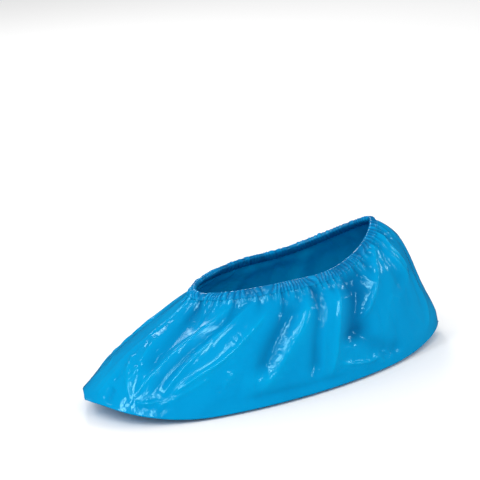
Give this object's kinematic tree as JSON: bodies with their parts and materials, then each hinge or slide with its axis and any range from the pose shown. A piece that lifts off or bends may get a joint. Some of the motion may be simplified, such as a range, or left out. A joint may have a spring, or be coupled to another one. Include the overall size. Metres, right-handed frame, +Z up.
{
  "type": "disposable film shoe cover",
  "caption": "Thin film overshoe in its worn shape: a hollow bag with a flat sole, soft folds, welded toe and heel corners, and a gathered hem over a hidden elastic.",
  "frame": {"origin": "centre of the bounding box at its lowest level, in the middle of the sole's underside", "axes": "+X towards the heel, -X towards the toe, +Z up; the side shown in the picture is -Y"},
  "size_m": [0.29, 0.1256, 0.1014],
  "materials": {
    "blue_film": "glossy blue polyethylene film, finely wrinkled",
    "hem_film": "the same film, folded double and gathered, a little duller",
    "elastic": "matt white flat elastic"
  },
  "bodies": {
    "root": {"film_body": "blue_film", "gathered_hem": "hem_film", "elastic_band": "elastic"}
  },
  "joints": []
}
